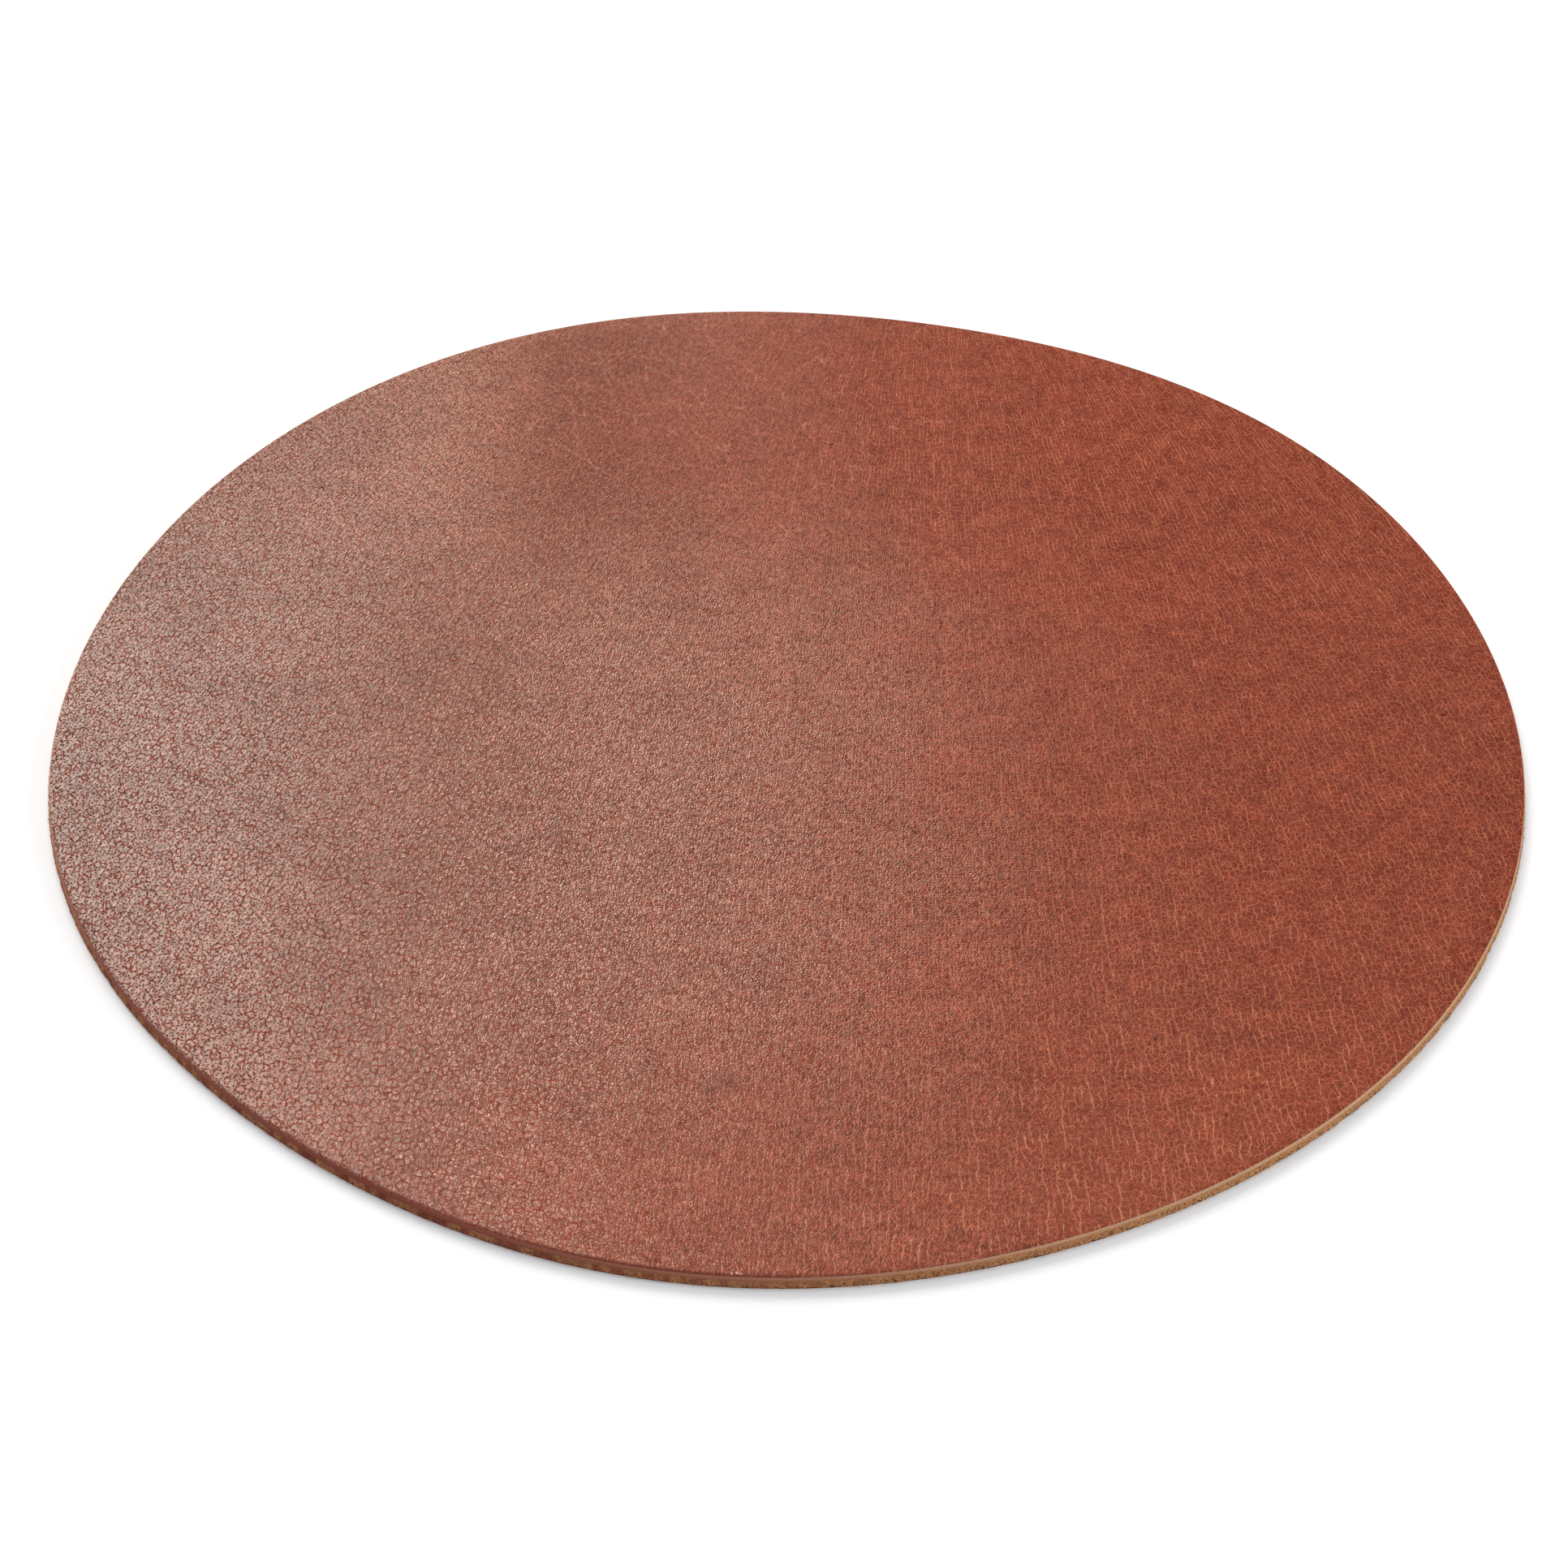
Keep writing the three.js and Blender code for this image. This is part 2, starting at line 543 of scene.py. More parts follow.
# Grain leather: the dyed, waxed face of the hide

grainSheet = {
    "rings": 128,
    "arris": 0.45,  # mm, the grain rolls over the knife's edge
    "arrisSteps": 6,
    "arrisShare": 0.4,  # of the wall
    "fall": 0.15,  # mm that the face sinks towards the rim
    "fallWidth": 6.0,
    "fallSteps": 8,
    "wallSteps": 3,
    "flat": (0.26, 0.26),  # metres, as cut
}

hideRelief = {
    "Undulation Depth": 0.2 * mm,
    "Undulation Size": 34 * mm,
    "Wrinkle Depth": 0.02 * mm,
    "Wrinkle Width": 0.12,
}
wrinkleNet = {
    "cell": (4.6 * mm, 12 * mm, 1.0),
    "turn": -0.55,  # radians
    "sway": 0.5,  # of a cell
    "bends": 2.2,  # to a cell
    "centre": (-0.03, 0.08, 0.0),
    "reach": (31.5 * mm, 105 * mm),
}


def wrinkleEdge(tree, point, net):
    # how near a wrinkle is, as a share of a cell, and how far the net reaches here
    turned = place(tree, "ShaderNodeVectorRotate", {"Vector": point, "Angle": net["turn"]},
                   rotation_type="Z_AXIS")
    spot = vectorCalc(tree, "DIVIDE", turned.outputs[0], net["cell"])
    sway = noiseAt(tree, spot, 2.0, net["bends"])["Color"]
    spot = vectorCalc(tree, "ADD", spot, vectorCalc(tree, "SCALE", sway, net["sway"]))
    edge = cellsAt(tree, spot, "DISTANCE_TO_EDGE")["Distance"]
    far = vectorCalc(tree, "DISTANCE", point, net["centre"])
    return edge, fade(tree, far, *net["reach"], 1.0, 0.0)


def makeHideRelief():
    # the hide is never flat: soft waves everywhere, and a net of wrinkles in one place
    inputs = ("Geometry", *hideRelief, "Material")
    tree, given, result = newTree("hideRelief", "GeometryNodeTree", inputs, ("Geometry",))
    point = place(tree, "GeometryNodeInputPosition").outputs[0]
    spot = vectorCalc(tree, "DIVIDE", point, given["Undulation Size"])
    waves = calc(tree, "SUBTRACT", noiseAt(tree, spot, 1.0)["Fac"], 1.0)
    waves = calc(tree, "MULTIPLY", waves, given["Undulation Depth"])
    edge, near = wrinkleEdge(tree, point, wrinkleNet)
    lines = fade(tree, edge, 0.0, given["Wrinkle Width"], 1.0, 0.0)
    lines = product(tree, lines, near, given["Wrinkle Depth"])
    sunk = product(tree, calc(tree, "SUBTRACT", waves, lines), attribute(tree, "reliefShare"))
    offset = join(tree, 0.0, 0.0, sunk)
    moved = place(tree, "GeometryNodeSetPosition", {"Geometry": given["Geometry"], "Offset": offset})
    closeTree(tree, moved.outputs[0], given["Material"], result)
    return tree


grainFinish = {
    "bloom": linear(152, 72, 46),
    "bloomShare": 0.16,
    # the dark of the pores is painted shade in their hollows
    "pore": linear(76, 30, 15),
    "wrinkle": linear(198, 130, 104),
    "wrinkleShare": 0.55,
    # a painted sheen, pale over the pebbles at the front left
    "paintedSheen": linear(232, 206, 193),
    # painted highlight and painted shade for the sides of the pebbles
    "paintedGlint": linear(248, 210, 186),
    "paintedShade": linear(92, 32, 20),
    "frontLow": linear(142, 68, 49),
    # the cream dashes at the front: lighter creases with a painted highlight along them
    "frontDashAndGlint": linear(216, 152, 118),
    "pressed": linear(104, 44, 32),
    "rolled": linear(150, 78, 64),
    "cut": linear(206, 140, 88),
    "arrisLine": linear(228, 178, 132),
    # the pale line on the arris: partly wear, partly a painted highlight
    "lipWearAndGlint": linear(240, 204, 174),
    "lipShare": 0.45,
    "rowShare": 0.12,
    "rough": 0.6,
    "shine": 0.05,
    "waxGloss": 0.24,  # roughness of the wax film on the high points
    "waxIndex": 1.5,
    "bump": 0.06 * mm,
    # the fixed directions of the painted highlight and shade, at the back and at the front
    "lit": (-0.77, 0.64, 0.0),
    "litFront": (-0.98, 0.2, 0.0),
}

# The grain fans out from a place beyond the far rim, and is narrower nearer to it. Sizes in mm
grainFan = {"apex": (29.0, 190.0, 0.0), "nominal": 225.0, "even": 0.45}
grainWander = {"Reach": 0.5, "Size": 1.0}
pebbleCells = {"Along": 0.66, "Across": 0.64, "Uneven": 0.75}
crumbCells = {"Along": 0.42, "Across": 0.4, "Uneven": 1.0}
creaseNet = {"Along": 1.4, "Across": 1.0, "Uneven": 1.0}
fineNet = {"Along": 1.4, "Across": 0.86, "Uneven": 1.0}
dashes = {"Spacing": 1.1, "Sway": 2.2, "Sway_Size": 5.0}
grainMottle = {"Cloud_Size": 26.0, "Patch_Size": 5.0, "Speckle_Size": 0.28}

# Noises of the grain: how they are stretched, and their size in mm
grainNoise = {
    "present": ((0.66, 1.0, 1.0), 1.6),  # along the fan
    "broken": ((0.35, 1.0, 1.0), 1.6),
    "rows": ((0.25, 1.0, 1.0), 0.5),  # along X
    "folds": ((1.0, 1.0, 1.0), 6.0),
    "grit": ((1.0, 0.66, 1.0), 0.85),
}
streakTurn = {"Rotation": (0.0, 0.0, 0.6), "Scale": (0.3, 1.0, 1.0)}
streakSize = 5.5
hideShift = {"wobble": 9.0, "far": 30.0, "pores": -40.0}  # mm across the hide

# Fades of the grain: from, to, and the values at both ends where they aren't 0 and 1
grainSpans = {
    "toFar": (0.0, 95.0),  # mm
    "farAcross": (-85.0, -30.0),
    "toFront": (-60.0, 0.0),
    # where the painted sheen at the front left fades in
    "frontLeft": (10.0, -50.0),
    "pore": (0.17, 0.32, 1.0, 0.0),
    "crown": (0.05, 0.5),
    "pebbleChance": (0.0, 1.0, 0.4, 1.0),
    "crumbChance": (0.0, 1.0, 0.2, 1.0),
    "crumbPlateau": (0.0, 0.6, 1.0, 0.2),
    "pebblePresent": (0.3, 0.7, 0.5, 1.25),
    "pebbleFront": (0.0, 1.0, 1.0, 0.4),
    "pebbleFar": (0.0, 1.0, 1.0, 0.35),
    "crease": (0.0, 1.0, 1.0, 0.0),
    "creasePresent": (0.35, 0.6, 0.4, 1.0),
    "line": (0.0, 0.14, 1.0, 0.0),  # mm
    "lineBroken": (0.44, 0.58),
    "lineFar": (0.0, 1.0, 1.0, 1.6),
    "rows": (0.45, 0.68),
    "fold": (0.0, 0.036, 1.0, 0.0),
    "foldBroken": (0.4, 0.6, 0.25, 1.0),
    "foldPresent": (0.3, 0.55, 0.3, 1.0),
    # fades of the painted highlight and shade
    "embossFront": (0.0, 1.0, 1.0, 0.45),
    "embossFar": (0.0, 1.0, 1.0, 0.6),
    "embossCrease": (0.0, 1.0, 1.0, 0.2),
    "lit": (0.04, 0.16),
    "unlit": (-0.02, -0.14),
    "grit": (0.3, 0.7),
    "gritNet": (0.0, 1.0, 1.0, 0.6),
    "streak": (0.55, 0.75),
    "pressed": (0.4, 1.0, 0.8, 0.0),  # mm in from the cut
    "pressedRolled": (0.3, 0.8),
    "lipTop": (0.05, 0.15),
    "lipFoot": (0.5, 0.3),
    "onCut": (0.08, 0.25),
}

# From left to right the hide goes from waxed pebbles with pores to a net of fine lines, and its pale
# high tones at the left are partly the waxed hide's own colour and partly a painted sheen. By X in mm:
acrossHide = {
    "wax": [(-130, 0.9), (-95, 0.72), (-60, 0.46), (-35, 0.36), (-10, 0.2), (15, 0.09), (40, 0.04),
            (70, 0.02), (130, 0.02)],
    "pores": [(-130, 1.0), (-90, 0.9), (-60, 0.45), (-30, 0.0), (130, 0.0)],
    "plateau": [(-130, 0.8), (-95, 0.72), (-65, 0.3), (-40, 0.0), (130, 0.0)],
    "low": [(-130, linear(112, 58, 40)), (-60, linear(116, 50, 33)), (0, linear(122, 48, 31)),
            (45, linear(120, 44, 29)), (130, linear(118, 43, 28))],
    "high": [(-130, linear(168, 136, 122)), (-90, linear(174, 130, 112)), (-60, linear(194, 141, 117)),
             (-30, linear(186, 117, 89)), (0, linear(168, 90, 64)), (30, linear(156, 69, 46)),
             (65, linear(136, 54, 37)), (130, linear(135, 53, 36))],
    "creaseColor": [(-130, linear(138, 60, 34)), (-40, linear(130, 50, 30)), (-18, linear(128, 54, 36)),
                    (0, linear(194, 112, 82)), (45, linear(202, 117, 84)), (130, linear(198, 114, 81))],
    "lineColor": [(-130, linear(130, 60, 38)), (-20, linear(140, 66, 46)), (40, linear(204, 128, 92)),
                  (130, linear(202, 126, 90))],
    "crease": [(-130, 1.0), (-40, 0.9), (-12, 0.15), (10, 0.46), (40, 0.76), (130, 0.7)],
    "creaseWidth": [(-130, 0.27), (-60, 0.25), (-20, 0.15), (0, 0.13), (35, 0.15), (70, 0.11),
                    (130, 0.11)],
    "line": [(-130, 0.25), (-20, 0.4), (40, 0.58), (130, 0.58)],
    # how strongly the painted highlight and shade show
    "paintedLightShare": [(-130, 0.4), (-85, 0.6), (-50, 0.95), (-10, 0.9), (15, 0.7), (45, 0.25), (80, 0.1),
               (130, 0.1)],
    "mottled": [(-130, 0.0), (10, 0.0), (60, 1.0), (130, 1.0)],
    # the painted sheen across the hide
    "paintedSheen": [(-130, 0.0), (-105, 0.1), (-65, 1.0), (-40, 0.75), (-10, 0.5), (30, 0.0), (130, 0.0)],
}
poredSpan = ("pores", "plateau")  # these reach further across at the back
# and from back to front, by Y in mm
alongHide = {
    "front": [(-130, 1.0), (-112, 0.95), (-75, 0.4), (-35, 0.0), (130, 0.0)],
    "wax": [(-130, 1.0), (0, 1.0), (100, 0.6), (130, 0.55)],
    # and the painted sheen, strongest at the front
    "paintedSheen": [(-130, 0.26), (-70, 0.26), (-20, 0.16), (35, 0.0), (130, 0.0)],
}

# Small blemishes of this hide: X, Y and radius in mm, and their colour and strength
blemishes = {
    "speck": [(117.0, 4.3, 0.4), (60.0, -78.0, 0.45), (41.7, -101.5, 0.3), (70.1, -94.8, 0.4),
              (7.7, 83.9, 0.55), (-72.4, 31.1, 0.4)],
    "smudge": [(-9.8, -88.6, 3.2), (-12.4, -90.4, 2.2)],
    "scuff": [(-7.7, -129.1, 0.26), (-6.9, -129.0, 0.32), (-6.3, -129.2, 0.22)],
}
blemishColors = {"speck": (linear(58, 30, 24), 0.8), "smudge": (linear(112, 66, 58), 0.4),
                 "scuff": (linear(240, 212, 194), 0.75)}
blemishCore = 0.4  # of the radius


def spanned(tree, value, name):
    return fade(tree, value, *grainSpans[name])


def stretchedNoise(tree, point, name, detail=2.0):
    stretch, size = grainNoise[name]
    return noiseOf(tree, vectorCalc(tree, "MULTIPLY", point, stretch), size, detail)


def fanOf(tree, plan, fan):
    away = axesOf(tree, vectorCalc(tree, "SUBTRACT", plan, fan["apex"]))
    turn = calc(tree, "ARCTAN2", away["X"], calc(tree, "MULTIPLY", away["Y"], -1.0))
    reach = vectorCalc(tree, "DISTANCE", plan, fan["apex"])
    girth = weighted(tree, [(reach, fan["even"]), (fan["nominal"], 1.0 - fan["even"])])
    return join(tree, reach, calc(tree, "MULTIPLY", turn, girth))


def readHide(tree):
    # where a point lies on the hide, and what the grain is like there
    point = place(tree, "ShaderNodeTexCoord").outputs["Object"]
    plan = vectorCalc(tree, "SCALE", point, 1.0 / mm)
    axes = axesOf(tree, plan)
    mottle = group(tree, hideMottle, Plan=plan, **grainMottle)
    wobble = calc(tree, "SUBTRACT", mottle["Clouds"], 0.5)
    toFar = spanned(tree, axes["Y"], "toFar")
    farDeep = product(tree, toFar, spanned(tree, axes["X"], "farAcross"))
    shifted = weighted(tree, [(axes["X"], 1.0), (wobble, hideShift["wobble"]),
                              (farDeep, hideShift["far"])])
    pored = weighted(tree, [(axes["X"], 1.0), (toFar, hideShift["pores"])])
    zone = {name: rampOf(tree, pored if name in poredSpan else shifted, knots)
            for name, knots in acrossHide.items()}
    along = {name: rampOf(tree, axes["Y"], knots) for name, knots in alongHide.items()}
    toFront = product(tree, along["front"], spanned(tree, shifted, "toFront"))
    # where the painted sheen brightens the front left
    frontLeft = product(tree, along["front"], spanned(tree, axes["X"], "frontLeft"))
    flow = group(tree, wander, Plan=fanOf(tree, plan, grainFan), **grainWander)["Plan"]
    present = stretchedNoise(tree, flow, "present")
    return {"point": point, "plan": plan, "mottle": mottle, "toFar": toFar, "farDeep": farDeep,
            "zone": zone, "along": along, "toFront": toFront, "frontLeft": frontLeft, "flow": flow,
            "present": present}


def makePebbles(tree, hide, finish):
    # pebbles with crumbs between them, and the pores in the middle of them
    zone, flow = hide["zone"], hide["flow"]
    fine = group(tree, creaseCells, Plan=flow, **pebbleCells)
    crumbs = group(tree, creaseCells, Plan=flow, **crumbCells)
    pore = product(tree, spanned(tree, fine["Middle"], "pore"), zone["pores"])
    pebble = product(tree, spanned(tree, fine["Crown"], "crown"),
                     spanned(tree, fine["Chance"], "pebbleChance"))
    crumb = product(tree, spanned(tree, crumbs["Crown"], "crown"),
                    spanned(tree, crumbs["Chance"], "crumbChance"),
                    spanned(tree, zone["plateau"], "crumbPlateau"))
    height = weighted(tree, [(pore, -0.5), (pebble, 0.5), (crumb, 0.5)])
    pebble = weighted(tree, [(pebble, 0.6), (crumb, 0.5)])
    pebble = product(tree, pebble, spanned(tree, hide["present"], "pebblePresent"),
                     spanned(tree, hide["toFront"], "pebbleFront"))
    pebble = strongest(tree, [pebble, zone["plateau"]])
    pebble = product(tree, pebble, spanned(tree, hide["farDeep"], "pebbleFar"))
    return {"pore": pore, "pebble": pebble, "bump": bumpOf(tree, height, finish["bump"])}


def makeLines(tree, hide, finish):
    # creases round groups of pebbles, broken dashes along the fan, faint rows and the wrinkles
    zone, flow, present = hide["zone"], hide["flow"], hide["present"]
    edge, fineEdge = (group(tree, creaseCells, Plan=flow, **net)["Edge"] for net in (creaseNet, fineNet))
    edge = between(tree, zone["mottled"], edge, fineEdge)
    cell = spanned(tree, calc(tree, "DIVIDE", edge, zone["creaseWidth"]), "crease")
    cell = product(tree, cell, spanned(tree, present, "creasePresent"))
    line = spanned(tree, group(tree, strandLines, Plan=flow, **dashes)["Distance"], "line")
    line = product(tree, line, spanned(tree, stretchedNoise(tree, flow, "broken"), "lineBroken"))
    rows = spanned(tree, stretchedNoise(tree, hide["plan"], "rows", 1.0), "rows")
    rows = product(tree, rows, zone["mottled"], finish["rowShare"])
    fold, folded = wrinkleEdge(tree, hide["point"], wrinkleNet)
    wrinkle = product(tree, spanned(tree, fold, "fold"), folded,
                      spanned(tree, stretchedNoise(tree, hide["plan"], "folds"), "foldBroken"),
                      spanned(tree, present, "foldPresent"))
    return {"cell": cell, "line": line, "rows": rows, "wrinkle": wrinkle}


def addPaintedLight(tree, hide, grain, cell, finish, color):
    # painted highlight on the sides of the pebbles towards a fixed light direction, and painted shade on
    # the sides away from it
    front = hide["along"]["front"]
    facing = [vectorCalc(tree, "DOT_PRODUCT", grain["bump"], finish[name])
              for name in ("lit", "litFront")]
    facing = between(tree, front, *facing)
    paintedLightShare = product(tree, hide["zone"]["paintedLightShare"], spanned(tree, front, "embossFront"),
                     spanned(tree, hide["toFar"], "embossFar"), spanned(tree, cell, "embossCrease"))
    lit, unlit = (product(tree, spanned(tree, facing, name), paintedLightShare) for name in ("lit", "unlit"))
    return paint(tree, color, (lit, finish["paintedGlint"]), (unlit, finish["paintedShade"]))


def addBlemishes(tree, plan, color):
    flat = vectorCalc(tree, "MULTIPLY", plan, (1.0, 1.0, 0.0))
    for kind, spots in blemishes.items():
        near = []
        for x, y, size in spots:
            away = vectorCalc(tree, "DISTANCE", flat, (x, y, 0.0))
            near.append(fade(tree, away, blemishCore * size, size, 1.0, 0.0))
        tint, weight = blemishColors[kind]
        color = paint(tree, color, (product(tree, strongest(tree, near), weight), tint))
    return color


def toneOf(tree, hide):
    # light and dark of the dye, from grit to broad clouds, darker slanted streaks, and a painted sheen
    # that brightens the front left
    mottle, plan = hide["mottle"], hide["plan"]
    grit = spanned(tree, stretchedNoise(tree, plan, "grit"), "grit")
    calm = spanned(tree, hide["zone"]["mottled"], "gritNet")
    grit = weighted(tree, [(calc(tree, "SUBTRACT", grit, 0.5), calm), (1.0, 0.5)])
    slant = place(tree, "ShaderNodeMapping", {"Vector": plan, **streakTurn}).outputs[0]
    streak = spanned(tree, noiseOf(tree, slant, streakSize), "streak")
    # the front left share is a painted sheen
    return weighted(tree, [(hide["frontLeft"], 0.22), (mottle["Patches"], 0.12),
                           (mottle["Speckle"], 0.3), (mottle["Clouds"], 0.08), (grit, 0.36),
                           (streak, -0.08), (hide["toFar"], 0.08), (1.0, 0.58)])


def paintHide(tree, hide, grain, lines, finish):
    zone, pebble, toFront = hide["zone"], grain["pebble"], hide["toFront"]
    low = paint(tree, zone["low"], (toFront, finish["frontLow"]))
    # painted sheen on the pebbles, strongest at the front left
    paintedSheen = product(tree, zone["paintedSheen"], hide["along"]["paintedSheen"], pebble)
    bloom = product(tree, hide["mottle"]["Patches"], zone["mottled"], finish["bloomShare"])
    crease = weighted(tree, [(lines["cell"], zone["crease"]), (lines["rows"], 1.0)])
    # the pale high tones on the pebbles at the left are partly a painted sheen
    color = paint(tree, low, (pebble, zone["high"]), (paintedSheen, finish["paintedSheen"]), (bloom, finish["bloom"]),
                  (crease, zone["creaseColor"]))
    # painted highlight and painted shade on the pebbles' sides
    color = addPaintedLight(tree, hide, grain, lines["cell"], finish, color)
    line = product(tree, lines["line"], zone["line"], spanned(tree, hide["toFar"], "lineFar"))
    # the cream of the dashes at the front is partly a painted highlight
    lineColor = paint(tree, zone["lineColor"], (toFront, finish["frontDashAndGlint"]))
    wrinkle = product(tree, lines["wrinkle"], finish["wrinkleShare"])
    # the pores' dark colour is painted shade in the hollows
    color = paint(tree, color, (line, lineColor), (grain["pore"], finish["pore"]),
                  (wrinkle, finish["wrinkle"]))
    color = addBlemishes(tree, hide["plan"], color)
    return vectorCalc(tree, "SCALE", color, toneOf(tree, hide))


def paintRim(tree, hide, wall, onCut, finish, color):
    # where the knife pressed the grain down or left it raw, and a pale line on the arris, partly wear
    # and partly a painted highlight
    rolled = rolledMask(tree)
    pressed = product(tree, spanned(tree, shownAttribute(tree, "rimInset"), "pressed"),
                      spanned(tree, rolled, "pressedRolled"))
    lipWearAndGlint = product(tree, spanned(tree, wall, "lipTop"), spanned(tree, wall, "lipFoot"),
                  finish["lipShare"])
    cut = paint(tree, finish["cut"], (hide["mottle"]["Speckle"], finish["arrisLine"]),
                (lipWearAndGlint, finish["lipWearAndGlint"]), (rolled, finish["rolled"]))
    return paint(tree, color, (pressed, finish["pressed"]), (onCut, cut))


def makeWaxedGrain(finish):
    material, tree, shader = newMaterial("waxedGrain")
    hide = readHide(tree)
    grain = makePebbles(tree, hide, finish)
    lines = makeLines(tree, hide, finish)
    wall = shownAttribute(tree, "wallShare")
    onCut = spanned(tree, wall, "onCut")
    color = paintHide(tree, hide, grain, lines, finish)
    feed(tree, shader.inputs["Base Color"], paintRim(tree, hide, wall, onCut, finish, color))
    feed(tree, shader.inputs["Normal"], grain["bump"])
    setFinish(shader, finish)

    # the wax film lies on the high points
    mottle = hide["mottle"]
    sunk = strongest(tree, [lines["cell"], lines["line"], grain["pore"], onCut])
    wax = weighted(tree, [(mottle["Clouds"], 0.2), (mottle["Speckle"], 0.3), (1.0, 0.75)])
    wax = product(tree, wax, grain["pebble"], calc(tree, "SUBTRACT", 1.0, sunk), hide["along"]["wax"],
                  hide["zone"]["wax"])
    feed(tree, shader.inputs["Coat Weight"], wax)
    shader.inputs["Coat Roughness"].default_value = finish["waxGloss"]
    shader.inputs["Coat IOR"].default_value = finish["waxIndex"]
    return material


def makeGrainLeather(sheet, outline):
    low, high = (corner.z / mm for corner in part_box("grain_layer"))
    edge = high - sheet["fall"]
    arris, share = sheet["arris"], sheet["arrisShare"]
    faceRows = [(arris + t * (sheet["fallWidth"] - arris), edge + sheet["fall"] * smooth(t, 0, 1))
                for t in np.linspace(0, 1, sheet["fallSteps"] + 1)]
    wallRows = []
    for i in range(sheet["arrisSteps"] + 1):
        t = i / sheet["arrisSteps"]
        turn = t * math.pi / 2
        drop = arris * (1 - math.cos(turn))
        wallRows.append((arris * (1 - math.sin(turn)), edge - drop, share * t))
    foot = wallRows[-1][1]
    for i in range(1, sheet["wallSteps"] + 1):
        t = i / sheet["wallSteps"]
        wallRows.append((0.0, foot + (low - foot) * t, share + (1 - share) * t))
    mesh = layDisc("grainLeather", outline, sheet["rings"], 1, faceRows, wallRows, 1)
    values = {**hideRelief, "Material": makeWaxedGrain(grainFinish)}
    return grow("grainLeather", mesh, makeHideRelief(), values)


grainLeather = makeGrainLeather(grainSheet, cutOutline)
print("grain leather:", len(grainLeather.data.polygons), "faces")

# Flesh leather: the raw fibrous underside and the lower part of the cut

fleshSheet = {
    "rings": 100,
    "split": 3,
    "faceRows": [(0.0, 0.0), (9.0, 0.0)],  # mm, level
    # up the cut from the desk: distance in from the grain's cut (mm), height (mm)
    "cutRows": [(0.15, 0.0), (0.06, 0.1), (-0.06, 0.24), (-0.16, 0.38), (-0.25, 0.52), (-0.22, 0.7),
                (-0.18, 0.9), (-0.13, 1.1), (-0.08, 1.32), (-0.03, 1.54), (0.0, 1.7)],
    "flat": (0.26, 0.26),
}

cutRelief = {
    "Strand Depth": 0.16 * mm,
    "Strand Size": 0.55 * mm,
    "Notch Depth": 0.22 * mm,
    "Notch Size": 1.8 * mm,
    "Nap Depth": 0.07 * mm,
    "Nap Size": 2.5 * mm,
}

# Fades of the cut: by share of the wall from its foot up, or by noise
cutSpans = {
    "onWall": (0.05, 0.2),
    "topFree": (0.85, 1.0, 1.0, 0.25),
    "strands": (0.3, 0.7, -1.0, 0.6),
    "notches": (0.54, 0.7),
    "notchFoot": (0.6, 0.2),
    "coarse": (1.0, 0.3, 0.35, 1.0),
    "specks": (0.55, 0.6),
    "speckFoot": (0.55, 0.2),
    "veil": (1.0, 0.0, 0.45, 1.0),
    "cut": (0.0, 0.1),
    "fibreFoot": (0.05, 0.12),
    "fibreTop": (1.0, 0.75),
}


def cutFade(tree, value, name):
    return fade(tree, value, *cutSpans[name])


def makeCutRelief():
    # the knife leaves torn strands down the cut, notches at its foot and a rough nap underneath
    inputs = ("Geometry", *cutRelief, "Material")
    tree, given, result = newTree("cutRelief", "GeometryNodeTree", inputs, ("Geometry",))
    point = place(tree, "GeometryNodeInputPosition").outputs[0]
    normal = place(tree, "GeometryNodeInputNormal").outputs[0]
    wall = attribute(tree, "wallShare")
    loose = weighted(tree, [(attribute(tree, "looseShare"), 0.7), (1.0, 0.3)])
    onWall = cutFade(tree, wall, "onWall")
    noise = {}
    for name, detail in (("Strand", 2.0), ("Notch", 1.0), ("Nap", 2.0)):
        spot = vectorCalc(tree, "DIVIDE", point, given[name + " Size"])
        noise[name] = noiseAt(tree, spot, detail)["Fac"]
    strands = product(tree, cutFade(tree, noise["Strand"], "strands"), given["Strand Depth"], onWall,
                      loose, cutFade(tree, wall, "topFree"))
    notches = product(tree, cutFade(tree, noise["Notch"], "notches"), given["Notch Depth"],
                      cutFade(tree, wall, "notchFoot"), onWall)
    nap = product(tree, noise["Nap"], given["Nap Depth"], attribute(tree, "reliefShare"))
    depth = calc(tree, "SUBTRACT", calc(tree, "SUBTRACT", strands, notches), nap)
    offset = vectorCalc(tree, "SCALE", normal, depth)
    moved = place(tree, "GeometryNodeSetPosition", {"Geometry": given["Geometry"], "Offset": offset})
    closeTree(tree, moved.outputs[0], given["Material"], result)
    return tree


fleshFinish = {
    "tan": linear(224, 158, 104),
    "light": linear(240, 196, 146),
    "pit": linear(108, 62, 36),
    "speck": linear(44, 24, 16),
    "specks": 1.1,  # to a millimetre
    "rolled": linear(146, 74, 58),
    "nap": linear(186, 142, 102),
    "napDark": linear(150, 106, 72),
    "napTan": 0.35,
    "rough": 0.95,
    "shine": 0.2,
    "bump": 0.12 * mm,
}
# Sizes in mm
fleshFlecks = {"Strand_Size": 0.3, "Pit_Size": 0.4}
fleshMottle = {"Cloud_Size": 18.0, "Patch_Size": 2.0, "Speckle_Size": 0.22}


